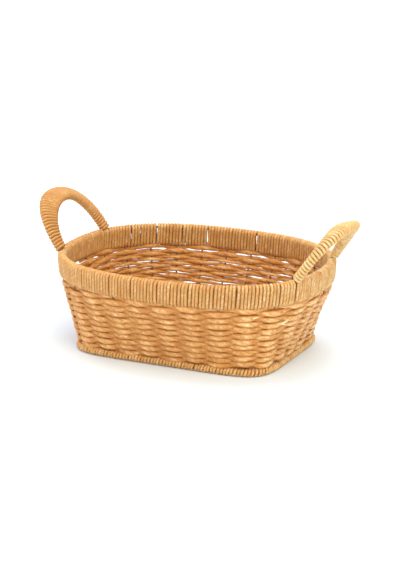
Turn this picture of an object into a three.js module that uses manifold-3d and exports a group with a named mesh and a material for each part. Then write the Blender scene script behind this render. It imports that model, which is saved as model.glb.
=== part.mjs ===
// A woven basket: a welded wire frame, randed with twisted straw cord, with a wrapped rim, a wrapped
// foot and two wrapped ear handles. Millimetres, +Z up, origin on the floor under the middle of the foot.
import * as THREE from 'three';
import Module from 'manifold-3d';
import { mergeVertices } from 'three/addons/utils/BufferGeometryUtils.js';

const wasm = await Module();
wasm.setup();

// Driving dimensions of the basket
const HEIGHT = 120;
const RIM_LENGTH = 336;
const RIM_WIDTH = 261;
const RIM_ROUNDNESS = 2.45;
const BAND_HEIGHT = 31;
const FOOT_LENGTH = 261;
const FOOT_WIDTH = 189;
const FOOT_ROUNDNESS = 6.4;
const FOOT_HEIGHT = 10;

// Driving dimensions of the frame and the cord
const HOOP_WIRE = 3.4;
const STRAINER_WIRE = 2.6;
const STAKE_WIRE = 2.2;
const FOOT_WIRE = 3.0;
const HANDLE_WIRE = 3.4;
const CORD = 4.2;
const WEAVE_CORD = 3.8;
const WRAP_CORD = 3.6;
const FOOT_BEND = 3.2;
const CLEARANCE = 0.3;

// Counts: stakes on each long side and each end, rows of weaving, and turns shown on a handle
const LONG_SIDE_STAKES = 8;
const END_STAKES = 6;
const WEAVE_ROWS = 20;
const LENGTHS_PER_WEAVER = 4;
const BASE_STRANDS_PER_BAY = 4;
const EDGE_STRANDS = 2;
const HANDLE_TURNS = 24;

// Ribs on the rim and the foot between two stakes. A rim rib stands for two turns of the cord.
const RIM_RIBS = 4;
const FOOT_RIBS = 1;
const RIB_DEPTH = 1.1;
const STAKE_GROOVE = 0.5;

// Driving dimensions of the handles
const HANDLE_SPAN = 114.5;
const HANDLE_REACH = 67;
const HANDLE_LEAN = THREE.MathUtils.degToRad(33.5);
const HANDLE_ROUNDNESS = 2.22;
const HANDLE_WIDTH = 28;
const HANDLE_CORD_WIDTH = 5.4;
const HANDLE_CORD_THICKNESS = 3.4;
const HANDLE_FOOT_TURN = THREE.MathUtils.degToRad(88);
const HANDLE_CROWN_TURN = THREE.MathUtils.degToRad(47);
const HANDLE_SPREAD_SHARPNESS = 1.5;

const STAKES = 2 * (LONG_SIDE_STAKES + END_STAKES);
const UP = new THREE.Vector3(0, 0, 1);

// Materials
const straw = new THREE.MeshStandardMaterial({ color: 0xc98f4e, roughness: 0.62, metalness: 0 });
const wrapStraw = new THREE.MeshStandardMaterial({ color: 0xd29c58, roughness: 0.58, metalness: 0 });
const wire = new THREE.MeshStandardMaterial({ color: 0x5a3a20, roughness: 0.45, metalness: 0.6 });

// A closed level curve between an ellipse and a rectangle, starting at +X and running anticlockwise.
class Superellipse extends THREE.Curve {
  constructor(length, width, roundness) {
    super();
    this.halfLength = length / 2;
    this.halfWidth = width / 2;
    this.roundness = roundness;
    this.arcLengthDivisions = 1400;
  }

  getPoint(t, target = new THREE.Vector3()) {
    const angle = 2 * Math.PI * t;
    const across = Math.abs(Math.cos(angle) / this.halfLength) ** this.roundness;
    const along = Math.abs(Math.sin(angle) / this.halfWidth) ** this.roundness;
    const radius = (across + along) ** (-1 / this.roundness);
    return target.set(radius * Math.cos(angle), radius * Math.sin(angle), 0);
  }

  // The point at a fraction of the length round, moved outwards by an offset and up to a height.
  at(fraction, offset, z) {
    const u = ((fraction % 1) + 1) % 1;
    const tangent = this.getTangentAt(u);
    const outward = new THREE.Vector3(tangent.y, -tangent.x, 0);
    return this.getPointAt(u).addScaledVector(outward, offset).setZ(z);
  }

  // Half the length of the chord at a distance y from the long axis, on the curve moved in by an inset.
  halfChord(y, inset) {
    const share = Math.abs(y) / (this.halfWidth - inset);
    return (this.halfLength - inset) * (1 - share ** this.roundness) ** (1 / this.roundness);
  }
}

// Half of a superellipse standing on its ends: x across, y up.
class Arch extends THREE.Curve {
  constructor(span, reach, roundness) {
    super();
    this.span = span;
    this.reach = reach;
    this.power = 2 / roundness;
    this.arcLengthDivisions = 600;
  }

  getPoint(t, target = new THREE.Vector3()) {
    const angle = Math.PI * t;
    const across = -Math.sign(Math.cos(angle)) * Math.abs(Math.cos(angle)) ** this.power;
    const rise = Math.abs(Math.sin(angle)) ** this.power;
    return target.set((across * this.span) / 2, rise * this.reach, 0);
  }
}

const rimLine = new Superellipse(RIM_LENGTH, RIM_WIDTH, RIM_ROUNDNESS);
const footLine = new Superellipse(FOOT_LENGTH, FOOT_WIDTH, FOOT_ROUNDNESS);

// Heights of the frame, worked out from the wraps that cover it
const bandBottom = HEIGHT - BAND_HEIGHT;
const topHoopZ = HEIGHT - WRAP_CORD - CLEARANCE - HOOP_WIRE / 2;
const topHoopUnderside = topHoopZ - HOOP_WIRE / 2;
const strainerZ = bandBottom + CORD + STRAINER_WIRE / 2;
const footHoopZ = FOOT_HEIGHT / 2;
const crossWireZ = CLEARANCE + CORD + CLEARANCE + STAKE_WIRE / 2;
const longWireZ = crossWireZ + STAKE_WIRE + CLEARANCE;

// Insets of the stakes: against the foot hoop inside it, and beside the strainer hoop under the top hoop
const steepest = Math.hypot(RIM_LENGTH - FOOT_LENGTH, RIM_WIDTH - FOOT_WIDTH) / 2;
const wallRise = bandBottom - footHoopZ;
const leanFactor = Math.hypot(steepest, wallRise) / wallRise;
const footInset = (FOOT_WIRE / 2 + CLEARANCE + STAKE_WIRE / 2) * leanFactor;
const bandCavity = STRAINER_WIRE + CLEARANCE + STAKE_WIRE + 4 * CLEARANCE;
const rimInset = (bandCavity - STAKE_WIRE) / 2 - 1.5 * CLEARANCE;
const strainerOffset = STAKE_WIRE / 2 + CLEARANCE + STRAINER_WIRE / 2 - rimInset;

// A solid through a list of rings of points, closed on itself or capped at its two ends.
function loft(rings, closed) {
  const sides = rings[0].length;
  const points = rings.flat();
  const index = [];
  const spans = closed ? rings.length : rings.length - 1;
  for (let i = 0; i < spans; i++) {
    const here = i * sides;
    const next = ((i + 1) % rings.length) * sides;
    for (let j = 0; j < sides; j++) {
      const k = (j + 1) % sides;
      index.push(here + j, next + j, next + k, here + j, next + k, here + k);
    }
  }
  if (!closed) {
    const last = (rings.length - 1) * sides;
    for (let j = 1; j < sides - 1; j++) {
      index.push(0, j, j + 1);
      index.push(last, last + j + 1, last + j);
    }
  }
  if (signedVolume(points, index) < 0) index.reverse();
  const geometry = new THREE.BufferGeometry().setFromPoints(points);
  geometry.setIndex(index);
  geometry.computeVertexNormals();
  return geometry;
}

function signedVolume(points, index) {
  const cross = new THREE.Vector3();
  let sum = 0;
  for (let i = 0; i < index.length; i += 3) {
    cross.crossVectors(points[index[i + 1]], points[index[i + 2]]);
    sum += points[index[i]].dot(cross);
  }
  return sum / 6;
}

// The unit direction of a path at one of its points, halfway between the stretches on both sides.
function directionAt(path, i, closed) {
  const last = path.length - 1;
  const before = closed ? path[(i + last) % path.length] : path[Math.max(i - 1, 0)];
  const after = closed ? path[(i + 1) % path.length] : path[Math.min(i + 1, last)];
  const arrive = path[i].clone().sub(before).normalize();
  const leave = after.clone().sub(path[i]).normalize();
  return arrive.add(leave).normalize();
}

// A round wire along a path, with the flats of its section turned to face a fixed direction.
function roundWire(path, diameter, sides, closed, facing) {
  const radius = diameter / 2;
  const rings = path.map((point, i) => {
    const direction = directionAt(path, i, closed);
    const side = facing.clone().cross(direction).normalize();
    const upward = direction.clone().cross(side);
    return Array.from({ length: sides }, (_, j) => {
      const angle = (2 * Math.PI * j) / sides;
      const reachOut = side.clone().multiplyScalar(radius * Math.cos(angle));
      return reachOut.addScaledVector(upward, radius * Math.sin(angle)).add(point);
    });
  });
  return loft(rings, closed);
}

// Rounds the inner corners of an open path with arcs of a given radius.
function roundCorners(corners, radius, steps) {
  const path = [corners[0]];
  for (let i = 1; i < corners.length - 1; i++) {
    const toBefore = corners[i - 1].clone().sub(corners[i]).normalize();
    const toAfter = corners[i + 1].clone().sub(corners[i]).normalize();
    const halfAngle = toBefore.angleTo(toAfter) / 2;
    const cut = radius / Math.tan(halfAngle);
    const start = corners[i].clone().addScaledVector(toBefore, cut);
    const end = corners[i].clone().addScaledVector(toAfter, cut);
    const centreWay = toBefore.clone().add(toAfter).normalize();
    const centre = corners[i].clone().addScaledVector(centreWay, radius / Math.sin(halfAngle));
    const sweep = Math.PI - 2 * halfAngle;
    for (let j = 0; j <= steps; j++) {
      const share = j / steps;
      const spoke = slerp(start.clone().sub(centre), end.clone().sub(centre), share, sweep);
      path.push(spoke.add(centre));
    }
  }
  path.push(corners[corners.length - 1]);
  return path;
}

function slerp(from, to, share, angle) {
  const first = Math.sin((1 - share) * angle) / Math.sin(angle);
  const second = Math.sin(share * angle) / Math.sin(angle);
  return from.clone().multiplyScalar(first).addScaledVector(to, second);
}

// A point of the wall's middle surface, which the stakes stand on.
function wallPoint(fraction, z) {
  const low = footLine.at(fraction, -footInset, footHoopZ);
  const high = rimLine.at(fraction, -rimInset, bandBottom);
  return low.lerp(high, (z - footHoopZ) / wallRise);
}

function wallUpslope(fraction) {
  const low = footLine.at(fraction, -footInset, footHoopZ);
  const high = rimLine.at(fraction, -rimInset, bandBottom);
  return high.sub(low).divideScalar(wallRise);
}

function stakeFraction(stake) {
  return (stake + 0.5) / STAKES;
}

// A frame wire: one stake, the wire across the base and the stake opposite it, bent from one length.
function frameWire(stakeA, stakeB, baseZ) {
  const bandBend = 4;
  const bendSteps = 3;
  const topEnd = topHoopUnderside - CLEARANCE;
  const upright = (stake) => {
    const fraction = stakeFraction(stake);
    const top = rimLine.at(fraction, -rimInset, topEnd);
    const shoulder = rimLine.at(fraction, -rimInset, bandBottom);
    return [top, shoulder, wallPoint(fraction, baseZ)];
  };
  const [topA, shoulderA, footA] = upright(stakeA);
  const [topB, shoulderB, footB] = upright(stakeB);
  const half = (top, shoulder, foot, far) => {
    const bent = roundCorners([top, shoulder, foot.clone().lerp(shoulder, 0.5)], bandBend, 1);
    const turned = roundCorners([bent.pop(), foot, far], FOOT_BEND, bendSteps);
    return [...bent, ...turned.slice(1, -1)];
  };
  const middle = footA.clone().lerp(footB, 0.5);
  const path = [...half(topA, shoulderA, footA, middle), ...half(topB, shoulderB, footB, middle).reverse()];
  const facing = footB.clone().sub(footA).cross(UP).normalize();
  return roundWire(path, STAKE_WIRE, 5, false, facing);
}

// A hoop of round wire along an outline, with one point on each stake and one between.
function hoop(outline, offset, z, diameter) {
  const points = 2 * STAKES;
  const path = Array.from({ length: points }, (_, i) => outline.at(i / points, offset, z));
  return roundWire(path, diameter, 5, true, UP);
}

// A wrapped band: a profile of [outwards, height] points carried along an outline. The turns of cord
// stand out as ribs, and a furrow lies between each two of them. The furrow at a stake is the deepest.
function wrappedBand(outline, profile, ribsPerBay, furrowOf) {
  const stations = 2 * ribsPerBay;
  const rings = [];
  for (let i = 0; i < stations * STAKES; i++) {
    const inFurrow = i % 2 === 0;
    const depth = (ribsPerBay > 1 ? RIB_DEPTH : 0) + (i % stations === 0 ? STAKE_GROOVE : 0);
    rings.push(profile.map((point) => {
      const [offset, z] = inFurrow ? furrowOf(point, depth) : point;
      return outline.at(stakeFraction(i / stations), offset, z);
    }));
  }
  return loft(rings, true);
}

// The rim wrap is a saddle over both rim hoops, open below where the stakes come up.
function rimWrap() {
  const squeeze = 0.6;
  const half = bandCavity / 2 + WRAP_CORD - squeeze;
  const hollow = bandCavity / 2;
  const headroom = 0.8;
  const roof = topHoopZ + HOOP_WIRE / 2 + CLEARANCE + headroom;
  const hemTaper = 0.6;
  const shoulderInset = 1.7;
  const shoulderDrop = 2.8;
  const outer = [
    [half - hemTaper, bandBottom],
    [half, bandBottom + BAND_HEIGHT / 2],
    [half - shoulderInset, HEIGHT - shoulderDrop],
    [0, HEIGHT],
  ];
  const mirrored = outer.slice(0, -1).reverse().map(([offset, z]) => [-offset, z]);
  const inner = [
    [-hollow, bandBottom],
    [-hollow, topHoopZ],
    [0, roof],
    [hollow, topHoopZ],
    [hollow, bandBottom],
  ];
  const furrow = ([offset, z], depth) => {
    const onOuterFace = Math.abs(offset) > hollow || z === HEIGHT;
    if (!onOuterFace) return [offset, z];
    const rise = Math.max(z - topHoopZ, 0);
    const reach = Math.hypot(offset, rise);
    return [offset - (depth * offset) / reach, z - (depth * rise) / reach];
  };
  return wrappedBand(rimLine, [...outer, ...mirrored, ...inner], RIM_RIBS, furrow);
}

// The foot wrap goes round the foot hoop from below, and is open inwards where the frame wires pass.
function footWrap() {
  const half = FOOT_HEIGHT / 2;
  const slack = 0.1;
  const hollow = FOOT_WIRE / 2 + CLEARANCE + slack;
  const outerFace = half - slack;
  const innerFace = -half + 0.4;
  const floorFlat = 2.8;
  const outerFaceFrom = 2.6;
  const outerFaceTo = FOOT_HEIGHT - 3;
  const innerFaceFrom = 1.6;
  const innerFaceTo = footHoopZ - hollow - 0.2;
  const lip = 3.4;
  const lipDrop = 0.4;
  const leastGrooved = 1;
  const profile = [
    [-floorFlat, 0],
    [floorFlat, 0],
    [outerFace, outerFaceFrom],
    [outerFace, outerFaceTo],
    [lip, FOOT_HEIGHT - lipDrop],
    [hollow, FOOT_HEIGHT],
    [hollow, footHoopZ - hollow],
    [innerFace, innerFaceTo],
    [innerFace, innerFaceFrom],
  ];
  const furrow = ([offset, z], depth) => {
    const onOuterFace = offset > hollow + leastGrooved && z > 0;
    return [onOuterFace ? offset - depth : offset, z];
  };
  return wrappedBand(footLine, profile, FOOT_RIBS, furrow);
}

// How far a strand's middle stands off a stake, on the level, so that it clears the leaning wire and
// the turn of the wall there.
function standOff(fraction, z, step) {
  const here = wallPoint(fraction, z);
  const ahead = wallPoint(fraction + step, z).sub(here);
  const behind = here.clone().sub(wallPoint(fraction - step, z));
  const swing = (WEAVE_CORD + STAKE_WIRE) / Math.min(ahead.length(), behind.length());
  const turn = ahead.angleTo(behind) / 2 + Math.atan(swing);
  const lean = wallUpslope(fraction).length();
  return WEAVE_CORD / 2 + ((STAKE_WIRE / 2 + CLEARANCE) * lean) / Math.cos(turn);
}

// Two weavers chase each other up the wall, each before one stake and behind the next, half a round
// apart. A weaver is worked in several lengths, each ending between two stakes where the next begins.
const lowestRowZ = FOOT_HEIGHT + CLEARANCE;
const highestRowZ = bandBottom - CLEARANCE;
const closestRows = 0.925;
const rowPitch = (highestRowZ - lowestRowZ + CLEARANCE) / (WEAVE_ROWS - 1 + closestRows);
const strandHeight = rowPitch * closestRows - CLEARANCE;
const crossings = (WEAVE_ROWS / 2) * STAKES;

// How many rows up a weaver is after a number of half rounds. It runs level along the sides and climbs
// a row round each end. Low rows climb before the end's middle, high rows after it, where lengths end.
function rowsUp(halfRounds) {
  const climb = 0.5;
  const nearest = Math.round(halfRounds);
  const high = THREE.MathUtils.clamp(halfRounds / WEAVE_ROWS, 0, 1);
  const from = climb * (high - 1);
  return nearest - 1 + THREE.MathUtils.smoothstep(halfRounds - nearest, from, from + climb);
}

function weaverSection(weaver, crossing) {
  const stake = crossing + (weaver * STAKES) / 2;
  const fraction = stakeFraction(stake);
  const z = lowestRowZ + strandHeight / 2 + rowPitch * rowsUp((2 * (crossing + 0.5)) / STAKES);
  const upslope = wallUpslope(fraction);
  const near = 0.1 / STAKES;
  const along = wallPoint(fraction + near, z).sub(wallPoint(fraction - near, z));
  const outward = along.cross(UP).normalize();
  const before = (Math.floor(crossing) + weaver) % 2 === 0 ? 1 : -1;
  const offset = before * standOff(fraction, z, 1 / STAKES);
  const middle = wallPoint(fraction, z).addScaledVector(outward, offset);
  const corners = [[1, 1], [-1, 1], [-1, -1], [1, -1]];
  return corners.map(([out, up]) => {
    const corner = middle.clone().addScaledVector(outward, (out * WEAVE_CORD) / 2);
    return corner.addScaledVector(upslope, (up * strandHeight) / 2);
  });
}

function weaverLength(weaver, length) {
  const perLength = crossings / LENGTHS_PER_WEAVER;
  const first = length * perLength;
  const endGap = CLEARANCE / (RIM_LENGTH * Math.PI / STAKES);
  const rings = [weaverSection(weaver, first - 0.5 + endGap)];
  for (let i = 0; i < perLength; i++) rings.push(weaverSection(weaver, first + i));
  rings.push(weaverSection(weaver, first + perLength - 0.5 - endGap));
  return loft(rings, false);
}

// The base is randed over the cross wires with doubled cord, between the long wires.
function baseRows() {
  const longWires = [];
  for (let i = 0; i < END_STAKES / 2; i++) longWires.push(wallPoint(stakeFraction(i), longWireZ).y);
  const keepOff = STAKE_WIRE / 2 + CLEARANCE;
  const edges = [-longWires[0], ...longWires];
  const rows = [];
  for (let bay = 0; bay < edges.length - 1; bay++) {
    const from = edges[bay] + keepOff;
    const bayPitch = (edges[bay + 1] - keepOff - from) / BASE_STRANDS_PER_BAY;
    for (let i = 0; i < BASE_STRANDS_PER_BAY; i++) {
      rows.push({ y: from + bayPitch * (i + 0.5), width: bayPitch - CLEARANCE });
    }
  }
  const outerFrom = edges[edges.length - 1] + keepOff;
  const outerTo = FOOT_WIDTH / 2 - footInset - 1.5 * FOOT_BEND;
  const outerPitch = (outerTo - outerFrom) / EDGE_STRANDS;
  for (let i = 0; i < EDGE_STRANDS; i++) {
    rows.push({ y: outerFrom + outerPitch * (i + 0.5), width: outerPitch - CLEARANCE });
  }
  const mirroredRows = rows.slice(BASE_STRANDS_PER_BAY).map(({ y, width }) => ({ y: -y, width }));
  return [...mirroredRows.reverse(), ...rows];
}

function baseStrand(row, number) {
  const wireXs = [];
  for (let i = 0; i < LONG_SIDE_STAKES; i++) {
    wireXs.push(wallPoint(stakeFraction(i + END_STAKES / 2), crossWireZ).x);
  }
  wireXs.sort((a, b) => a - b);
  const edgeInset = footInset + FOOT_BEND + CLEARANCE;
  const end = footLine.halfChord(Math.abs(row.y) + row.width / 2, edgeInset);
  const thickness = CORD - 2 * CLEARANCE;
  const swing = thickness / 2 + STAKE_WIRE / 2 + CLEARANCE + 0.1;
  const section = (x, z) => {
    const corners = [[1, 1], [-1, 1], [-1, -1], [1, -1]];
    return corners.map(([side, up]) => new THREE.Vector3(
      x,
      row.y + (side * row.width) / 2,
      z + (up * thickness) / 2,
    ));
  };
  const rings = [section(-end, crossWireZ)];
  wireXs.forEach((x, i) => {
    const over = (i + number) % 2 === 0 ? 1 : -1;
    if (Math.abs(x) < end - CORD / 2) rings.push(section(x, crossWireZ + over * swing));
  });
  rings.push(section(end, crossWireZ));
  return loft(rings, false);
}

// A handle is two wire arches, side by side at their feet and spread at the crown, wrapped together.
const arch = new Arch(HANDLE_SPAN, HANDLE_REACH, HANDLE_ROUNDNESS);
const windingSlack = 3.6 * CLEARANCE;
const wireToCord = HANDLE_WIRE / 2 + windingSlack + HANDLE_CORD_THICKNESS / 2;
const wrapRadius = wireToCord / Math.cos(Math.PI / 6);
const feetSpread = HANDLE_WIRE / 2 + CLEARANCE / 2 + 0.05;
const crownSpread = HANDLE_WIDTH / 2 - wrapRadius - HANDLE_CORD_THICKNESS / 2;
const wireFootZ = topHoopZ + HOOP_WIRE / 2 + CLEARANCE + (HANDLE_WIRE / 2) * Math.sin(HANDLE_LEAN);

// The handle's frame at a share of its length: its middle, its direction and its two section axes.
function handleFrame(end, share) {
  const lean = new THREE.Vector3(end * Math.sin(HANDLE_LEAN), 0, Math.cos(HANDLE_LEAN));
  const inward = new THREE.Vector3(-end * Math.cos(HANDLE_LEAN), 0, Math.sin(HANDLE_LEAN));
  const foot = new THREE.Vector3(end * rimLine.halfChord(HANDLE_SPAN / 2, 0), 0, wireFootZ);
  const place = (flat) => foot.clone().addScaledVector(lean, flat.y).add(new THREE.Vector3(0, flat.x, 0));
  const u = THREE.MathUtils.clamp(share, 0, 1);
  const middle = place(arch.getPointAt(u));
  const flatTangent = arch.getTangentAt(u);
  const direction = lean.multiplyScalar(flatTangent.y).add(new THREE.Vector3(0, flatTangent.x, 0));
  const sideways = direction.clone().cross(inward);
  const rise = Math.sin(Math.PI * u);
  const turn = -end * THREE.MathUtils.lerp(HANDLE_FOOT_TURN, HANDLE_CROWN_TURN, rise ** 2);
  const wide = inward.multiplyScalar(Math.cos(turn)).addScaledVector(sideways, Math.sin(turn));
  const thick = direction.clone().cross(wide).normalize();
  const spread = THREE.MathUtils.lerp(feetSpread, crownSpread, rise ** HANDLE_SPREAD_SHARPNESS);
  return { middle, direction, wide, thick, spread };
}

function handleWirePath(end, side) {
  const steps = 14;
  return Array.from({ length: steps + 1 }, (_, i) => {
    const { middle, wide, spread } = handleFrame(end, i / steps);
    return middle.addScaledVector(wide, side * spread);
  });
}

function handleWire(end, side) {
  const facing = new THREE.Vector3(-end * Math.cos(HANDLE_LEAN), 0, Math.sin(HANDLE_LEAN));
  return roundWire(handleWirePath(end, side), HANDLE_WIRE, 5, false, facing);
}

// The handle's wrapping: one unbroken flat pair of cords, wound from foot to foot in six-sided turns.
function handleWinding(end) {
  const stepsPerTurn = 6;
  const clearOfRim = 6.9;
  const start = clearOfRim / arch.getLength();
  const steps = HANDLE_TURNS * stepsPerTurn;
  const path = [];
  const axes = [];
  for (let i = 0; i <= steps; i++) {
    const frame = handleFrame(end, start + (1 - 2 * start) * (i / steps));
    const angle = (-end * 2 * Math.PI * i) / stepsPerTurn;
    const onWide = Math.sign(Math.round(Math.cos(angle) * 2)) * frame.spread;
    const point = frame.middle.addScaledVector(frame.wide, onWide + wrapRadius * Math.cos(angle));
    path.push(point.addScaledVector(frame.thick, wrapRadius * Math.sin(angle)));
    axes.push(frame.direction);
  }
  const rings = path.map((point, i) => {
    const direction = directionAt(path, i, false);
    const out = direction.clone().cross(axes[i]).normalize();
    const along = out.clone().cross(direction).normalize();
    const corners = [[1, 1], [-1, 1], [-1, -1], [1, -1]];
    return corners.map(([side, up]) => {
      const corner = point.clone().addScaledVector(along, (side * HANDLE_CORD_WIDTH) / 2);
      return corner.addScaledVector(out, (up * HANDLE_CORD_THICKNESS) / 2);
    });
  });
  console.log(`least gap between handle turns: ${leastGap(rings, stepsPerTurn).toFixed(2)} mm`);
  return loft(rings, false);
}

// The least distance between points on the edges of a winding and those on its next turn.
function leastGap(rings, stepsPerTurn) {
  const samples = 8;
  const edges = [];
  for (let i = 0; i < rings.length - 1; i++) {
    for (let j = 0; j < samples; j++) {
      edges.push(rings[i].map((corner, k) => corner.clone().lerp(rings[i + 1][k], j / samples)));
    }
  }
  const turn = stepsPerTurn * samples;
  let least = Infinity;
  for (let i = 0; i + turn + samples < edges.length; i++) {
    for (let j = i + turn - samples; j < i + turn + samples; j++) {
      for (const a of edges[i]) {
        for (const b of edges[j]) least = Math.min(least, a.distanceTo(b));
      }
    }
  }
  return least;
}

// Cutting the rim wrap where the handle wires pass through it
function solidOf(geometry) {
  const bare = geometry.clone();
  bare.deleteAttribute('normal');
  const merged = mergeVertices(bare, 1e-4);
  return new wasm.Manifold(new wasm.Mesh({
    numProp: 3,
    vertProperties: merged.getAttribute('position').array,
    triVerts: new Uint32Array(merged.index.array),
  }));
}

function geometryOf(solid) {
  const { vertProperties, triVerts } = solid.getMesh();
  const geometry = new THREE.BufferGeometry();
  geometry.setAttribute('position', new THREE.BufferAttribute(vertProperties, 3));
  geometry.setIndex(new THREE.BufferAttribute(triVerts, 1));
  geometry.computeVertexNormals();
  return geometry;
}

function rimWrapWithHandleHoles() {
  let solid = solidOf(rimWrap());
  const holeSides = 8;
  const holeDiameter = (HANDLE_WIRE + 2 * CLEARANCE) / Math.cos(Math.PI / holeSides);
  for (const end of [-1, 1]) {
    for (const side of [-1, 1]) {
      const path = handleWirePath(end, side);
      for (const [foot, next] of [[path[0], path[1]], [path[path.length - 1], path[path.length - 2]]]) {
        const rise = next.clone().sub(foot).normalize();
        const below = foot.clone().addScaledVector(rise, -holeDiameter / 2);
        const above = foot.clone().addScaledVector(rise, 2 * holeDiameter);
        const facing = new THREE.Vector3(0, 1, 0);
        solid = solid.subtract(solidOf(roundWire([below, above], holeDiameter, holeSides, false, facing)));
      }
    }
  }
  return geometryOf(solid);
}

// The finished basket
const basket = new THREE.Group();

function addPart(name, geometry, material) {
  const mesh = new THREE.Mesh(geometry, material);
  mesh.name = name;
  basket.add(mesh);
}

addPart('top_hoop', hoop(rimLine, 0, topHoopZ, HOOP_WIRE), wire);
addPart('strainer_hoop', hoop(rimLine, strainerOffset, strainerZ, STRAINER_WIRE), wire);
addPart('foot_hoop', hoop(footLine, 0, footHoopZ, FOOT_WIRE), wire);

for (let i = 0; i < LONG_SIDE_STAKES; i++) {
  const back = END_STAKES / 2 + i;
  const front = STAKES - 1 - back;
  addPart(`cross_wire_${i + 1}`, frameWire(back, front, crossWireZ), wire);
}
for (let i = 0; i < END_STAKES; i++) {
  const right = (STAKES - END_STAKES / 2 + i) % STAKES;
  const left = (STAKES + STAKES / 2 - 1 - right) % STAKES;
  addPart(`long_wire_${i + 1}`, frameWire(right, left, longWireZ), wire);
}

baseRows().forEach((row, i) => {
  addPart(`base_strand_${String(i + 1).padStart(2, '0')}`, baseStrand(row, i), straw);
});

['a', 'b'].forEach((letter, weaver) => {
  for (let i = 0; i < LENGTHS_PER_WEAVER; i++) {
    addPart(`weaver_${letter}_${i + 1}`, weaverLength(weaver, i), straw);
  }
});

addPart('foot_wrap', footWrap(), wrapStraw);
addPart('rim_wrap', rimWrapWithHandleHoles(), wrapStraw);

for (const [name, end] of [['left', -1], ['right', 1]]) {
  addPart(`handle_inner_wire_${name}`, handleWire(end, 1), wire);
  addPart(`handle_outer_wire_${name}`, handleWire(end, -1), wire);
  addPart(`handle_winding_${name}`, handleWinding(end), wrapStraw);
}

export default basket;
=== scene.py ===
# %% [markdown]
# # A straw basket, woven in cells
#
# The real basket starts as a skeleton of bent wire. Twisted straw cord is then worked round it in four
# ways: woven over and under the upright wires, wound over the rim, wound round the foot, and wound
# round two arches that make the handles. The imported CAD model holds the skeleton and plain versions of
# the cords. This lesson gives every cord its real turns, its twist and its straw.

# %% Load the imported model
import math
from bisect import bisect_right

import bpy
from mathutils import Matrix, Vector, noise


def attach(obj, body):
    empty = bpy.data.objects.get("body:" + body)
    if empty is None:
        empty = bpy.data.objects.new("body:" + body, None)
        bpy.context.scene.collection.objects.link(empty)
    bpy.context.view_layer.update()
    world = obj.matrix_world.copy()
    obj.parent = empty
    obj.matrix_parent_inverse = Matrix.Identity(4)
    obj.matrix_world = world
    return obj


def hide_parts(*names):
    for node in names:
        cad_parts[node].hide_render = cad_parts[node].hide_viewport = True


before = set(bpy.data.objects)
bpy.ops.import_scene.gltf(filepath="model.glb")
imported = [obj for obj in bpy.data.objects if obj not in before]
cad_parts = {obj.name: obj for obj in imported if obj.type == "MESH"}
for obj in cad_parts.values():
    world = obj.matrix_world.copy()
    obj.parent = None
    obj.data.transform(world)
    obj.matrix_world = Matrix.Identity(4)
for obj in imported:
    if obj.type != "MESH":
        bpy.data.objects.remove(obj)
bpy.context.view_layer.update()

MM = 0.001
UP = Vector((0, 0, 1))
print("CAD nodes:", len(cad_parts))

# %% [markdown]
# ## Outlines
#
# Two level outlines, the rim and the foot, set out the whole basket, in millimetres. They could be drawn
# point by point, but a superellipse needs only three numbers. It slides from an ellipse to a rectangle as
# its roundness grows. A maker spaces the uprights evenly, so the curve is walked by its length and not by
# its angle. The sizes repeat the CAD source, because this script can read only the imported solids.


# %% Outlines walked by their length
class Route:
    """A line of points: on(0.25) is the place a quarter of the way along it."""

    def __init__(self, points):
        self.points = points
        self.run = [0.0]
        for a, b in zip(points, points[1:]):
            self.run.append(self.run[-1] + (b - a).length)
        self.length = self.run[-1]

    def on(self, fraction):
        reach = (fraction % 1.0) * self.length
        low = min(bisect_right(self.run, reach), len(self.run) - 1) - 1
        share = (reach - self.run[low]) / (self.run[low + 1] - self.run[low])
        return self.points[low].lerp(self.points[low + 1], share)

    def at(self, fraction, offset, z):
        """The place that lies offset outwards of the line, and z above it."""
        step = 1e-3
        along = (self.on(fraction + step) - self.on(fraction - step)).normalized()
        outward = Vector((along.y, -along.x, 0))
        return self.on(fraction) + outward * offset + UP * z


def superellipse(length, width, roundness, samples=2800):
    points = []
    for i in range(samples + 1):
        angle = 2 * math.pi * i / samples
        across = abs(math.cos(angle) / (length / 2)) ** roundness
        along = abs(math.sin(angle) / (width / 2)) ** roundness
        radius = (across + along) ** (-1 / roundness)
        points.append(Vector((radius * math.cos(angle), radius * math.sin(angle), 0)))
    return points


RIM_LENGTH, RIM_WIDTH, RIM_ROUNDNESS = 336, 261, 2.45
FOOT_LENGTH, FOOT_WIDTH, FOOT_ROUNDNESS = 261, 189, 6.4
rim_line = Route(superellipse(RIM_LENGTH, RIM_WIDTH, RIM_ROUNDNESS))
foot_line = Route(superellipse(FOOT_LENGTH, FOOT_WIDTH, FOOT_ROUNDNESS))
print("round the rim %.0f mm, round the foot %.0f mm" % (rim_line.length, foot_line.length))

# %% [markdown]
# ## The wall
#
# The uprights, which a basket maker calls stakes, stand in straight lines from the foot hoop to the band
# round the rim. Their surface could be modelled and looked up, but a straight line between two outlines
# gives every place on it exactly. It is the middle of the weave, and each cord is set out from it.

# %% Heights and the surface of the wall
HEIGHT, BAND_HEIGHT, FOOT_HEIGHT = 120, 31, 10
HOOP_WIRE, STRAINER_WIRE, FOOT_WIRE, STAKE_WIRE = 3.4, 2.6, 3.0, 2.2
CORD, WRAP_CORD = 4.2, 3.6
CLEARANCE = 0.3
LONG_SIDE_STAKES, END_STAKES = 8, 6
STAKES = 2 * (LONG_SIDE_STAKES + END_STAKES)

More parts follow.
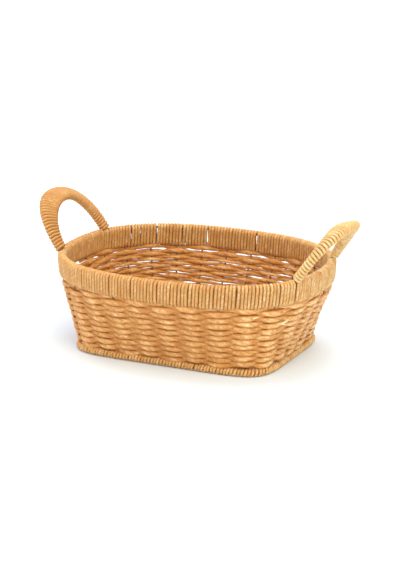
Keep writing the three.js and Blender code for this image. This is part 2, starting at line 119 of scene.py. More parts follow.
band_bottom = HEIGHT - BAND_HEIGHT
top_hoop_z = HEIGHT - WRAP_CORD - CLEARANCE - HOOP_WIRE / 2
strainer_z = band_bottom + CORD + STRAINER_WIRE / 2
foot_hoop_z = FOOT_HEIGHT / 2
cross_wire_z = CLEARANCE + CORD + CLEARANCE + STAKE_WIRE / 2
long_wire_z = cross_wire_z + STAKE_WIRE + CLEARANCE
wall_rise = band_bottom - foot_hoop_z
flare = math.hypot(RIM_LENGTH - FOOT_LENGTH, RIM_WIDTH - FOOT_WIDTH) / 2
lean_factor = math.hypot(flare, wall_rise) / wall_rise
foot_inset = (FOOT_WIRE / 2 + CLEARANCE + STAKE_WIRE / 2) * lean_factor
band_cavity = STRAINER_WIRE + CLEARANCE + STAKE_WIRE + 4 * CLEARANCE
rim_inset = (band_cavity - STAKE_WIRE) / 2 - 1.5 * CLEARANCE


def wall_point(fraction, z):
    low = foot_line.at(fraction, -foot_inset, foot_hoop_z)
    high = rim_line.at(fraction, -rim_inset, band_bottom)
    return low.lerp(high, (z - foot_hoop_z) / wall_rise)


def stake_fraction(stake):
    return (stake + 0.5) / STAKES


def outward_at(fraction, z):
    step = 2e-3
    along = wall_point(fraction + step, z) - wall_point(fraction - step, z)
    return along.cross(UP).normalized()


print(STAKES, "stakes, in a wall that rises %.0f mm" % wall_rise)

# %% [markdown]
# ## Colours and nodes
#
# A colour read off real straw is written as a hex code, but Blender's materials work in linear light, so
# one function converts it. Nodes could be wired by hand in the editor. Here a small function adds a node
# with its settings and links, so a tree reads from top to bottom.


# %% Helpers for colours and nodes
def srgb(code):
    channels = [int(code[i : i + 2], 16) / 255 for i in (1, 3, 5)]
    linear = [c / 12.92 if c <= 0.04045 else ((c + 0.055) / 1.055) ** 2.4 for c in channels]
    return (*linear, 1.0)


def add_node(tree, kind, links=None, **settings):
    node = tree.nodes.new(kind)
    for name, value in settings.items():
        setattr(node, name, value)
    for socket, value in (links or {}).items():
        if isinstance(value, bpy.types.NodeSocket):
            tree.links.new(value, node.inputs[socket])
        else:
            node.inputs[socket].default_value = value
    return node


def color_ramp(tree, factor, stops):
    ramp = add_node(tree, "ShaderNodeValToRGB", {"Fac": factor})
    elements = ramp.color_ramp.elements
    elements[0].position, elements[0].color = stops[0][0], srgb(stops[0][1])
    elements[1].position, elements[1].color = stops[-1][0], srgb(stops[-1][1])
    for position, code in stops[1:-1]:
        elements.new(position).color = srgb(code)
    return ramp.outputs["Color"]


def new_material(name):
    material = bpy.data.materials.new(name)
    material.use_nodes = True
    return material, material.node_tree


FADED_STRAW = "#FFE8B6"
print("faded straw in linear light:", srgb(FADED_STRAW))

# %% [markdown]
# ## Straw
#
# The cord is straw or rush, damped and twisted. Its skin is satiny, with fine fibres along it, and its
# colour changes from stalk to stalk. A picture of straw could be wrapped round it, but it would repeat.
# Here each cord carries attributes: where a point lies on it, how deep in the creases, how pale it is
# painted, and which way its neighbour lies. The noise reads them, so the grain follows every bend. The
# creases and the flanks where turns meet are painted darker, as painted shade. The straw is painted paler
# at the stake crossings and at the right end, as painted light, and a split stalk is paler too.


# %% Fibres, tones and flanks
def straw_fibres(tree, carried, width):
    """Noise that is drawn out along the cord until each patch of it is as long as a split fibre."""
    length = 8
    slow_run = add_node(
        tree, "ShaderNodeMath", {0: carried["cord_run"], 1: width / length}, operation="MULTIPLY"
    ).outputs[0]
    along = add_node(tree, "ShaderNodeCombineXYZ", {"Z": slow_run}).outputs[0]
    place = add_node(
        tree, "ShaderNodeVectorMath", {0: carried["cord_side"], 1: along}, operation="ADD"
    ).outputs[0]
    return add_node(
        tree, "ShaderNodeTexNoise", {"Vector": place, "Scale": 1 / (width * MM), "Detail": 3.0}
    ).outputs["Fac"]


def straw_tone(tree, carried, fibres):
    """How pale a place is. Tones change along the cord, and in clouds and flecks across it. The creases get
    painted shade.
    """
    stalk_length, cloud_size, fleck_size = 26, 12, 3.2
    stalks = add_node(
        tree,
        "ShaderNodeTexNoise",
        {"W": carried["cord_run"], "Scale": 1 / (stalk_length * MM), "Detail": 2.0},
        noise_dimensions="1D",
    ).outputs["Fac"]
    place = add_node(tree, "ShaderNodeTexCoord").outputs["Object"]
    clouds, flecks = [
        add_node(
            tree, "ShaderNodeTexNoise", {"Vector": place, "Scale": 1 / (size * MM), "Detail": detail}
        ).outputs["Fac"]
        for size, detail in ((cloud_size, 2.0), (fleck_size, 3.0))
    ]
    tone = -0.16
    shares = [(stalks, 0.35), (clouds, 0.25), (fibres, 0.35), (flecks, 0.45)]
    # Painted shade darkens the creases. Painted light, and the pale inside of a split stalk, make it paler.
    shares += [(carried["crease_shade"], -0.12), (carried["split_and_lit"], 0.16)]
    for source, share in shares:
        tone = add_node(
            tree, "ShaderNodeMath", {0: source, 1: share, 2: tone}, operation="MULTIPLY_ADD"
        ).outputs[0]
    return tone


def flank_shade(tree, carried, limits):
    """Painted shade: 0 on the crown of a turn, 1 on the flank that lies against its neighbour."""
    facing = add_node(tree, "ShaderNodeNewGeometry").outputs["Normal"]
    turned = add_node(
        tree, "ShaderNodeVectorMath", {0: facing, 1: carried["beside"]}, operation="DOT_PRODUCT"
    ).outputs["Value"]
    either_way = add_node(tree, "ShaderNodeMath", {0: turned}, operation="ABSOLUTE").outputs[0]
    return add_node(
        tree,
        "ShaderNodeMapRange",
        {"Value": either_way, "From Min": limits[0], "From Max": limits[1]},
        interpolation_type="SMOOTHSTEP",
    ).outputs[0]


print("tones come from stalks, clouds, fibres, flecks, creases and wear")

# %% [markdown]
# ## Two bundles of straw, and a copy painted paler
#
# Two bundles went into the real basket: the woven cord is browner, and the wound cord more golden. The
# right handle has a paler copy of the wound straw, as painted light. One recipe with other colours keeps
# them a family. A fibre is about a third of a millimetre wide. In the woven cord it is drawn coarser than
# real, at 0.8 mm, because finer ones don't show at this distance. Thin straw lets some light through, which
# the subsurface gives the eye.


# %% The straw materials
def straw(name, pale, middle, deep, shaded_furrow, fibre_width=0.32, flank=(0.6, 1.0)):
    material, tree = new_material(name)
    shader = tree.nodes["Principled BSDF"]
    outputs = {"cord_run": "Fac", "cord_side": "Vector", "crease_shade": "Fac", "split_and_lit": "Fac", "beside": "Vector"}
    carried = {
        attribute: add_node(tree, "ShaderNodeAttribute", attribute_name=attribute).outputs[output]
        for attribute, output in outputs.items()
    }
    fibres = straw_fibres(tree, carried, fibre_width)
    tone = straw_tone(tree, carried, fibres)
    crown = color_ramp(tree, tone, [(0.42, deep), (0.58, middle), (0.76, pale), (1.0, FADED_STRAW)])
    shade = flank_shade(tree, carried, flank)
    # The flanks are painted in the shaded_furrow colour: painted shade where turns meet.
    skin = add_node(
        tree, "ShaderNodeMix", {"Factor": shade, "A": crown, "B": srgb(shaded_furrow)}, data_type="RGBA"
    ).outputs["Result"]
    tree.links.new(skin, shader.inputs["Base Color"])

    smoothest, roughest = 0.42, 0.62
    shine = add_node(
        tree, "ShaderNodeMapRange", {"Value": fibres, "To Min": smoothest, "To Max": roughest}
    ).outputs[0]
    tree.links.new(shine, shader.inputs["Roughness"])
    relief = {"Strength": 0.35, "Distance": 0.3 * MM, "Height": fibres}
    raised = add_node(tree, "ShaderNodeBump", relief).outputs["Normal"]
    tree.links.new(raised, shader.inputs["Normal"])
    shader.inputs["Subsurface Weight"].default_value = 0.5
    shader.inputs["Subsurface Radius"].default_value = (1.0, 0.55, 0.25)
    shader.inputs["Subsurface Scale"].default_value = 2.5 * MM
    return material


# The woven cord's painted shade reaches over most of its upper and lower sides.
woven_straw = straw("twisted straw, woven", "#EABE86", "#CD934E", "#BA7C3A", "#C88640", 0.8, (0.1, 0.8))
wound_straw = straw("twisted straw, wound close", "#EBCA98", "#D4A164", "#C58D4D", "#D69B56")
lit_wound_straw = straw("twisted straw, paler, wound close", "#F3E0B6", "#E8C184", "#D8AA6A", "#DFB074")
print("straw:", woven_straw.name, "/", wound_straw.name, "/", lit_wound_straw.name)

# %% [markdown]
# ## Painted wire
#
# The frame is mild steel wire, dipped in thin brown paint so that it hides behind the straw. The dip
# leaves a soft satin skin that is a little uneven, so the material is a paint and not a metal.

# %% The painted wire
painted_wire, wire_tree = new_material("steel wire, dipped in brown paint")
wire_place = add_node(wire_tree, "ShaderNodeTexCoord").outputs["Object"]
drip_size = 3
wire_noise = add_node(
    wire_tree, "ShaderNodeTexNoise", {"Vector": wire_place, "Scale": 1 / (drip_size * MM), "Detail": 3.0}
).outputs["Fac"]
wire_color = color_ramp(wire_tree, wire_noise, [(0.3, "#8A5A32"), (0.7, "#A87242")])
wire_shader = wire_tree.nodes["Principled BSDF"]
wire_tree.links.new(wire_color, wire_shader.inputs["Base Color"])
wire_shader.inputs["Roughness"].default_value = 0.42
print("frame:", painted_wire.name)

# %% [markdown]
# ## One tree that makes every cord
#
# A cord is a section carried along a path. Each one could be modelled by itself, but then every change
# would be made fifty times. Geometry Nodes do it in one tree, and with no lobes it makes the wires too.
# First the path is cut into even steps. Its tilt turns the section once in every lay length, and that is
# the twist.

# %% The settings and the path
cord_tree = bpy.data.node_groups.new("twisted cord along a path", "GeometryNodeTree")
cord_inputs = {"Path": "Geometry", "Finish": "Material", "Stalks": "Int", "Sides": "Int"}
for label in ("Diameter", "Lobe depth", "Lay length", "Step", "Unevenness", "Stretch", "Seed"):
    cord_inputs[label] = "Float"
for label, kind in cord_inputs.items():
    cord_tree.interface.new_socket(label, in_out="INPUT", socket_type="NodeSocket" + kind)
cord_tree.interface.new_socket("Cord", in_out="OUTPUT", socket_type="NodeSocketGeometry")
given = add_node(cord_tree, "NodeGroupInput").outputs

as_curve = add_node(cord_tree, "GeometryNodeMeshToCurve", {"Mesh": given["Path"]}).outputs[0]
even = add_node(
    cord_tree, "GeometryNodeResampleCurve", {"Curve": as_curve, "Length": given["Step"]}, mode="LENGTH"
).outputs[0]
travelled = add_node(cord_tree, "GeometryNodeSplineParameter").outputs["Length"]
laid = add_node(
    cord_tree, "ShaderNodeMath", {0: travelled, 1: given["Lay length"]}, operation="DIVIDE"
).outputs[0]
tilt = add_node(cord_tree, "ShaderNodeMath", {0: laid, 1: 2 * math.pi}, operation="MULTIPLY").outputs[0]
way = add_node(cord_tree, "GeometryNodeSetCurveTilt", {"Curve": even, "Tilt": tilt}).outputs[0]
way_place = add_node(cord_tree, "GeometryNodeInputPosition").outputs[0]
for attribute, value, kind in [("cord_run", travelled, "FLOAT"), ("centre", way_place, "FLOAT_VECTOR")]:
    way = add_node(
        cord_tree,
        "GeometryNodeStoreNamedAttribute",
        {"Geometry": way, "Name": attribute, "Value": value},
        data_type=kind,
    ).outputs[0]
print("the path:", len(cord_tree.nodes), "nodes")

# %% [markdown]
# ## The section of a cord
#
# Three stalks twisted together leave three shallow furrows. Three circles could be joined for it, but one
# circle with waves pressed into it has far fewer faces. The square of a sine has round crowns and no sharp
# edge. It is also kept as crease_shade, where the straw is painted darker: painted shade in the furrows.

# %% The lobed section
radius = add_node(
    cord_tree, "ShaderNodeMath", {0: given["Diameter"], 1: 0.5}, operation="MULTIPLY"
).outputs[0]
ring = add_node(
    cord_tree, "GeometryNodeCurvePrimitiveCircle", {"Resolution": given["Sides"], "Radius": radius}
).outputs["Curve"]
shaded_furrow = add_node(cord_tree, "GeometryNodeSplineParameter").outputs["Factor"]
wave_steps = [("MULTIPLY", given["Stalks"]), ("MULTIPLY", math.pi), ("SINE", 0.0), ("POWER", 2.0)]
for operation, value in wave_steps:
    shaded_furrow = add_node(cord_tree, "ShaderNodeMath", {0: shaded_furrow, 1: value}, operation=operation).outputs[0]
furrow_depth = add_node(
    cord_tree, "ShaderNodeMath", {0: shaded_furrow, 1: given["Lobe depth"]}, operation="MULTIPLY"
).outputs[0]
kept = add_node(cord_tree, "ShaderNodeMath", {0: 1.0, 1: furrow_depth}, operation="SUBTRACT").outputs[0]
ring_place = add_node(cord_tree, "GeometryNodeInputPosition").outputs[0]
lobed_place = add_node(
    cord_tree, "ShaderNodeVectorMath", {0: ring_place, "Scale": kept}, operation="SCALE"
).outputs[0]
section = add_node(
    cord_tree, "GeometryNodeSetPosition", {"Geometry": ring, "Position": lobed_place}
).outputs[0]
for attribute, value, kind in [("cord_side", ring_place, "FLOAT_VECTOR"), ("crease_shade", shaded_furrow, "FLOAT")]:
    section = add_node(
        cord_tree,
        "GeometryNodeStoreNamedAttribute",
        {"Geometry": section, "Name": attribute, "Value": value},
        data_type=kind,
    ).outputs[0]
print("the path and the section:", len(cord_tree.nodes), "nodes")

# %% [markdown]
# ## The sweep
#
# Handmade cord is thick and thin by turns, so slow noise swells it. Woven cord isn't round either: it
# stands taller than it is thick. A sweep can't be scaled in one direction, so its skin is pushed away from
# the middle afterwards, along the direction that its points carry as beside.

# %% Sweep, stretch and finish
seeded = add_node(
    cord_tree, "ShaderNodeMath", {0: travelled, 1: given["Seed"]}, operation="ADD"
).outputs[0]
lump_length = 7
lumps = add_node(
    cord_tree,
    "ShaderNodeTexNoise",
    {"W": seeded, "Scale": 1 / (lump_length * MM), "Detail": 2.0},
    noise_dimensions="1D",
).outputs["Fac"]
about_zero = add_node(cord_tree, "ShaderNodeMath", {0: lumps, 1: 0.5}, operation="SUBTRACT").outputs[0]
lumpy = add_node(
    cord_tree, "ShaderNodeMath", {0: about_zero, 1: given["Unevenness"], 2: 1.0}, operation="MULTIPLY_ADD"
).outputs[0]
swell = add_node(cord_tree, "GeometryNodeInputNamedAttribute", {"Name": "swell"}).outputs[0]
scale = add_node(cord_tree, "ShaderNodeMath", {0: swell, 1: lumpy}, operation="MULTIPLY").outputs[0]
swept = add_node(
    cord_tree,
    "GeometryNodeCurveToMesh",
    {"Curve": way, "Profile Curve": section, "Scale": scale, "Fill Caps": True},
).outputs[0]

skin_place = add_node(cord_tree, "GeometryNodeInputPosition").outputs[0]
centre, beside = [
    add_node(
        cord_tree, "GeometryNodeInputNamedAttribute", {"Name": attribute}, data_type="FLOAT_VECTOR"
    ).outputs[0]
    for attribute in ("centre", "beside")
]
arm = add_node(
    cord_tree, "ShaderNodeVectorMath", {0: skin_place, 1: centre}, operation="SUBTRACT"
).outputs["Vector"]
reach = add_node(
    cord_tree, "ShaderNodeVectorMath", {0: arm, 1: beside}, operation="DOT_PRODUCT"
).outputs["Value"]
gain = add_node(
    cord_tree, "ShaderNodeMath", {0: reach, 1: given["Stretch"]}, operation="MULTIPLY"
).outputs[0]
push = add_node(
    cord_tree, "ShaderNodeVectorMath", {0: beside, "Scale": gain}, operation="SCALE"
).outputs["Vector"]
stretched = add_node(cord_tree, "GeometryNodeSetPosition", {"Geometry": swept, "Offset": push}).outputs[0]
smooth = add_node(cord_tree, "GeometryNodeSetShadeSmooth", {"Geometry": stretched}).outputs[0]
real = add_node(cord_tree, "GeometryNodeRealizeInstances", {"Geometry": smooth}).outputs[0]
finished = add_node(
    cord_tree, "GeometryNodeSetMaterial", {"Geometry": real, "Material": given["Finish"]}
).outputs[0]
add_node(cord_tree, "NodeGroupOutput", {"Cord": finished})
print("cord tree:", len(cord_tree.nodes), "nodes")

# %% [markdown]
# ## From a path to a piece
#
# A piece is one cord, or a few that lie together. Its path could be drawn as a curve, but a mesh of points
# and edges can carry a swell, a direction and a paleness at each point. The paleness is painted light, and
# the pale inside of split stalks. What the tree makes is turned into a plain mesh, which is what is kept,
# and it takes the place of its CAD node.


# %% Laying cords
cord_sockets = {
    item.name.replace(" ", "_"): item.identifier
    for item in cord_tree.interface.items_tree
    if item.item_type == "SOCKET" and item.in_out == "INPUT"
}
triangles = {}


def add_object(name, data):
    thing = bpy.data.objects.new(name, data)
    bpy.context.scene.collection.objects.link(thing)
    return thing


def lay_cords(name, paths, nodes, slot, finish, **sizes):
    """A path is a list of points, each with (place in mm, swell, direction beside it, paleness from painted
    light and split stalks).
    """
    points, edges, swells, besides, pale_values = [], [], [], [], []
    for path in paths:
        first = len(points)
        for point, swell, beside, paleness in path:
            points.append(tuple(point * MM))
            swells.append(swell)
            besides.extend(beside)
            pale_values.append(paleness)
        edges.extend((first + i, first + i + 1) for i in range(len(path) - 1))
    mesh = bpy.data.meshes.new(name)
    mesh.from_pydata(points, edges, [])
    mesh.attributes.new("swell", "FLOAT", "POINT").data.foreach_set("value", swells)
    mesh.attributes.new("beside", "FLOAT_VECTOR", "POINT").data.foreach_set("vector", besides)
    mesh.attributes.new("split_and_lit", "FLOAT", "POINT").data.foreach_set("value", pale_values)
    piece = add_object(name, mesh)
    modifier = piece.modifiers.new("cord", "NODES")
    modifier.node_group = cord_tree
    for label, value in {**sizes, "Finish": finish}.items():
        modifier[cord_sockets[label]] = value
    graph = bpy.context.evaluated_depsgraph_get()
    piece.data = bpy.data.meshes.new_from_object(piece.evaluated_get(graph))
    piece.modifiers.clear()
    triangles[name] = sum(len(polygon.vertices) - 2 for polygon in piece.data.polygons)
    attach(piece, "root")
    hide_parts(*nodes)


print("settings of a cord:", ", ".join(cord_sockets))

# %% [markdown]
# ## The bent wires
#
# Each frame wire is one length, bent up at both ends: a stake, the wire across the base and the stake
# opposite. A smooth curve through its corners would bow the stakes. So each bend is drawn as a short arc,
# as a maker bends wire round a pin.


# %% Bent wires
SHOULDER_BEND, FOOT_BEND = 4, 3.2
wire_sizes = dict(Stalks=0, Lobe_depth=0.0, Sides=10, Step=3.0 * MM, Unevenness=0.0, Lay_length=1.0)


def round_wire(name, path, diameter):
    points = [(point, 1.0, (0, 0, 0), 0.5) for point in path]
    sizes = dict(Diameter=diameter * MM, **wire_sizes)
    lay_cords("round_" + name, [points], [name], "frame_wire", painted_wire, **sizes)


def round_corners(corners, radius, steps=4):
    path = [corners[0]]
    for before, corner, after in zip(corners, corners[1:], corners[2:]):
        back, ahead = (before - corner).normalized(), (after - corner).normalized()
        half_angle = back.angle(ahead) / 2
        cut = radius / math.tan(half_angle)
        centre = corner + (back + ahead).normalized() * (radius / math.sin(half_angle))
        start, end = corner + back * cut - centre, corner + ahead * cut - centre
        sweep = math.pi - 2 * half_angle
        for j in range(steps + 1):
            first = math.sin((1 - j / steps) * sweep) / math.sin(sweep)
            second = math.sin(j / steps * sweep) / math.sin(sweep)
            path.append(centre + start * first + end * second)
    path.append(corners[-1])
    return path


def frame_wire(stake_a, stake_b, base_z):
    top_end = top_hoop_z - HOOP_WIRE / 2 - CLEARANCE

    def upright(stake):
        fraction = stake_fraction(stake)
        top = rim_line.at(fraction, -rim_inset, top_end)
        shoulder = rim_line.at(fraction, -rim_inset, band_bottom)
        return [top, shoulder, wall_point(fraction, base_z)]

    left, right = upright(stake_a), upright(stake_b)
    middle = left[2].lerp(right[2], 0.5)
    halves = []
    for top, shoulder, foot in (left, right):
        bent = round_corners([top, shoulder, foot.lerp(shoulder, 0.5)], SHOULDER_BEND)
        turned = round_corners([bent.pop(), foot, middle], FOOT_BEND)
        halves.append(bent + turned[1:-1])
    return halves[0] + halves[1][::-1]


for i in range(LONG_SIDE_STAKES):
    back = END_STAKES // 2 + i
    round_wire("cross_wire_%d" % (i + 1), frame_wire(back, STAKES - 1 - back, cross_wire_z), STAKE_WIRE)
for i in range(END_STAKES):
    right = (STAKES - END_STAKES // 2 + i) % STAKES
    left = (STAKES + STAKES // 2 - 1 - right) % STAKES
    round_wire("long_wire_%d" % (i + 1), frame_wire(right, left, long_wire_z), STAKE_WIRE)
print("bent wires:", len(triangles))

# %% [markdown]
# ## The hoops
#
# Three closed rings of wire hold the stakes: one under the crest of the rim, a lighter one at the lower
# edge of its band, and one in the foot. A torus would be round from above, so these follow the outlines.
# The straw covers them, but they show where it parts.


# %% Hoops
def hoop_path(outline, offset, z, points=240):
    path = [outline.at(i / points, offset, z) for i in range(points)]
    return path + [path[0]]


strainer_offset = STAKE_WIRE / 2 + CLEARANCE + STRAINER_WIRE / 2 - rim_inset
round_wire("top_hoop", hoop_path(rim_line, 0, top_hoop_z), HOOP_WIRE)
round_wire("strainer_hoop", hoop_path(rim_line, strainer_offset, strainer_z), STRAINER_WIRE)
round_wire("foot_hoop", hoop_path(foot_line, 0, foot_hoop_z), FOOT_WIRE)
print("wires and hoops:", sum(triangles.values()), "triangles")

# %% [markdown]
# ## The rows of the wall
#
# This is randing with two weavers that chase each other up the wall. Each passes in front of one stake
# and behind the next, and the other does the opposite half a round later. Stacked rings would look like
# it from one side, but a real weaver climbs from row to row. It keeps level along the sides and climbs
# round the ends.

# %% Rows
WEAVE_ROWS = 20
lowest_row_z = FOOT_HEIGHT + CLEARANCE
highest_row_z = band_bottom - CLEARANCE
closest_rows = 0.925
row_pitch = (highest_row_z - lowest_row_z + CLEARANCE) / (WEAVE_ROWS - 1 + closest_rows)
strand_height = row_pitch * closest_rows - CLEARANCE


def way_from(start, length, value):
    """0 up to the start, 1 from a length beyond it, and the share of the way between them."""
    return min(max((value - start) / length, 0.0), 1.0)


def rows_up(half_rounds):
    """How many rows up a weaver is: level near each whole half round, and climbing between them."""
    climb = 0.5
    nearest = round(half_rounds)
    start = climb * (way_from(0, WEAVE_ROWS, half_rounds) - 1)
    share = way_from(start, climb, half_rounds - nearest)
    return nearest - 1 + share * share * (3 - 2 * share)


print("rows %.2f mm apart, each %.2f mm high" % (row_pitch, strand_height))

# %% [markdown]
# ## Signs of the hand, and painted light
#
# The real wall isn't even. Its back is worked loosely, so that light shows between the rows. The straw at
# the right end is painted paler, as painted light. Faults could be drawn one by one, but the eye only wants
# them in the right region. So smooth noise moves the cord, and two functions say how loose a place is and
# how much painted light it gets.
# region. So smooth noise moves the cord, and two functions say how loose and how faded a place is.


# %% Loose places and painted light
def wobble(along, lane, kind, reach):
    """A small move, read from noise along a cord. It is the same on every run."""
    return noise.noise(Vector((along, lane, kind))) * reach


def looseness(crossing, weaver, fraction, rows):
    """0 along the front, and about 1 at the back. It falls off in the last four rows below the band."""
    usual, suddenness, tightened = 0.98, 2.4, 0.6
    patches = usual + wobble(crossing * 0.7, weaver * 2.3, 4.1, 0.4)
    at_back = min(1.0, max(0.0, suddenness * math.sin(2 * math.pi * fraction)))
    return patches * at_back * (1 - tightened * way_from(WEAVE_ROWS - 4, 1, rows))


def brighter(point):
    """How much paler the straw is painted here, as painted light. It begins 80 mm to the right and 40 mm to
    the back.
    """
    at_right, at_back = 0.6, 0.1
    return at_right * way_from(80, 80, point.x) + at_back * way_from(40, 60, point.y)


print("faded at the right end: %.2f" % brighter(Vector((RIM_LENGTH / 2, 0, 0))))

# %% [markdown]
# ## The path of a weaver
#
# Between two stakes the cord swings from one side of the wall to the other, so its distance from the
# middle is a wave. A zigzag would do it too, but cord doesn't turn sharply. It is fullest and tallest
# where it crosses a stake, and hangs lower in front of one than behind it. Where the weave is loose it is
# less tall, and the gap lets the light through. Here and there a stalk has broken and springs out.


# %% Weaver and broken stalk
def power(value, exponent):
    """A power that keeps the sign of its value."""
    return math.copysign(abs(value) ** exponent, value)


over_swell, between_swell = 1.14, 1.04
stand_off, lean, tuck = 2.6, 1.2, 1.5
tall_between, taller_at_stakes = 0.65, 0.35
lower_in_front, lower_behind = 0.42, 0.5


def weaver_path(weaver, crossing_run):
    """A whole number in crossing_run is a stake. The wave is 1 in front of it, or -1 behind it."""
    path = []
    for crossing in crossing_run:
        fraction = stake_fraction(crossing + weaver * STAKES / 2)
        rows = rows_up(2 * (crossing + 0.5) / STAKES)
        tucked = tuck * max(0.0, rows - (WEAVE_ROWS - 2))
        z = lowest_row_z + strand_height / 2 + row_pitch * rows + tucked
        wave = math.cos(math.pi * crossing) * (-1 if weaver else 1)
        wander = wobble(crossing * 0.45, weaver * 7.3, 1.7, 0.5)
        droop = wobble(crossing * 1.5, weaver * 3.1, 9.2, 1.5) - lean * wave
        aside = outward_at(fraction, z) * (power(wave, 0.75) * stand_off + wander)
        point = wall_point(fraction, z + droop) + aside
        plump = 1 + wobble(crossing * 1.2, weaver * 5.7, 6.4, 0.3)
        swell = (between_swell + (over_swell - between_swell) * abs(wave)) * plump
        lower = looseness(crossing, weaver, fraction, rows) * (lower_in_front if wave > 0 else lower_behind)
        tall = (tall_between + taller_at_stakes * abs(wave)) * (1 - lower)
        # Paleness: 1 at a stake crossing, 0 where the cord dives through: painted light on the crowns,
        # painted shade between, plus the painted light at the right end.
        path.append((point, swell, (0, 0, tall), abs(wave) ** 1.5 + brighter(point)))
    return path


def broken_stalk(weaver, crossing, reach, lift, points=6):
    """A thin split of straw that has sprung out of the cord. It tapers and has the palest straw."""
    start = weaver_path(weaver, [crossing])[0][0]
    outward = outward_at(stake_fraction(crossing + weaver * STAKES / 2), start.z)
    onward = UP.cross(outward)
    cord_half, spring, palest = 2.2, 1.2, 4.0
    thick, taper = 0.5, 0.3
    stalk = []
    for i in range(points):
        share = i / (points - 1)
        out = outward * (cord_half + spring * share)
        point = start + out + onward * (reach * share) + UP * (lift * share)
        stalk.append((point, thick - taper * share, (0, 0, 0), palest))
    return stalk


print("the first weaver starts %.1f mm above the floor" % weaver_path(0, [0])[0][0].z)

# %% [markdown]
# ## Weaving the wall
#
# A maker joins new lengths as the cord runs out. So each weaver is four pieces, which end between two
# stakes. They could be twisted like rope, but the real ones show long slanting strands, so they turn once
# in 38 mm.

# %% The lengths of the weavers
WEAVE_CORD = 3.8
LENGTHS_PER_WEAVER = 4
crossings = WEAVE_ROWS // 2 * STAKES
per_length = crossings // LENGTHS_PER_WEAVER
path_steps = 10
broken_stalks = {
    (1, 2): [(207.3, 10, 3.8), (207.35, 9, 1.4), (207.3, 7, -1.2)],
    (0, 3): [(248.2, 6, 2.0)],
}
weaver_sizes = dict(Diameter=WEAVE_CORD * MM, Stalks=3, Lobe_depth=0.09, Lay_length=38 * MM, Sides=10)
weaver_sizes |= dict(Step=1.7 * MM, Unevenness=0.3, Stretch=1.0)
for weaver, letter in enumerate("ab"):
    for length in range(LENGTHS_PER_WEAVER):
        name = "weaver_%s_%d" % (letter, length + 1)
        first = length * per_length - 0.5
        run = [first + i / path_steps for i in range(per_length * path_steps + 1)]
        stalks = [broken_stalk(weaver, *stalk) for stalk in broken_stalks.get((weaver, length), [])]
        paths = [weaver_path(weaver, run)] + stalks
        seed = weaver * 31.0 + length * 7.0
        lay_cords("straw_" + name, paths, [name], "woven_straw", woven_straw, Seed=seed, **weaver_sizes)
print("weavers:", sum(n for name, n in triangles.items() if "weaver" in name), "triangles")

# %% [markdown]
# ## Winding
#
# The rim and the foot are each one long cord, wound round and round. A tube with stripes would be quicker,
# but every turn shows against the light. So the path is a helix, and one turn of it is a rounded rectangle:
# tall for the rim, where the cord goes over two hoops, and nearly round for the foot.


# %% The shape of one turn
def rounded_rectangle(half_width, low, high, corner):
    """Points close together round the shape, each as (outwards, height)."""
    corners = [(half_width, low), (half_width, high), (-half_width, high), (-half_width, low)]
    dense, per_corner = [], 12
    for (x, z), start in zip(corners, [-math.pi / 2, 0, math.pi / 2, math.pi]):
        mid_x = x - math.copysign(corner, x)
        mid_z = z + corner if z == low else z - corner
        for step in range(per_corner + 1):
            angle = start + step * math.pi / (2 * per_corner)
            dense.append((mid_x + corner * math.cos(angle), mid_z + corner * math.sin(angle)))
    return dense + [dense[0]]


def even_steps(dense, steps):
    """The same shape in even steps, so that all turns have their points in the same places."""
    run = [0.0]
    for (ax, az), (bx, bz) in zip(dense, dense[1:]):
        run.append(run[-1] + math.hypot(bx - ax, bz - az))
    profile, k = [], 0
    for i in range(steps):
        reach = run[-1] * i / steps
        while run[k + 1] < reach:
            k += 1
        share = (reach - run[k]) / max(run[k + 1] - run[k], 1e-9)
        (ax, az), (bx, bz) = dense[k], dense[k + 1]
        profile.append((ax + share * (bx - ax), az + share * (bz - az)))
    return profile


FOOT_CORD = 4.2
off_floor = 0.35
foot_low, foot_high = FOOT_CORD / 2 + off_floor, FOOT_HEIGHT - FOOT_CORD / 2
foot_shape = rounded_rectangle(FOOT_HEIGHT / 2 - FOOT_CORD / 2, foot_low, foot_high, corner=2.2)
foot_profile = even_steps(foot_shape, 16)
print("one turn of the foot has", len(foot_profile), "points")

# %% [markdown]
# ## Partings
#
# Each stake pushes the turns beside it a little apart. At some stakes the parting is wide, and shows a
# dark wedge in front or the light behind. The gaps could be cut out, but a winding has only one cord, so
# its turns are moved along the hoop, the nearest ones most. Outside, a gap can lie some turns to one side
# of its stake, as in the photograph.


# %% Winding round a closed hoop
def opened(turn, first_after, gap):
    """How far a turn moves along the hoop when a gap opens just before the turn first_after."""
    turns_moved, suddenness = 4, 0.15
    side = 2 * min(max((turn - first_after) / suddenness + 1, 0), 1) - 1
    fade = max(0.0, 1 - abs(turn - first_after) / turns_moved)
    return side * fade ** 2 * gap / 2


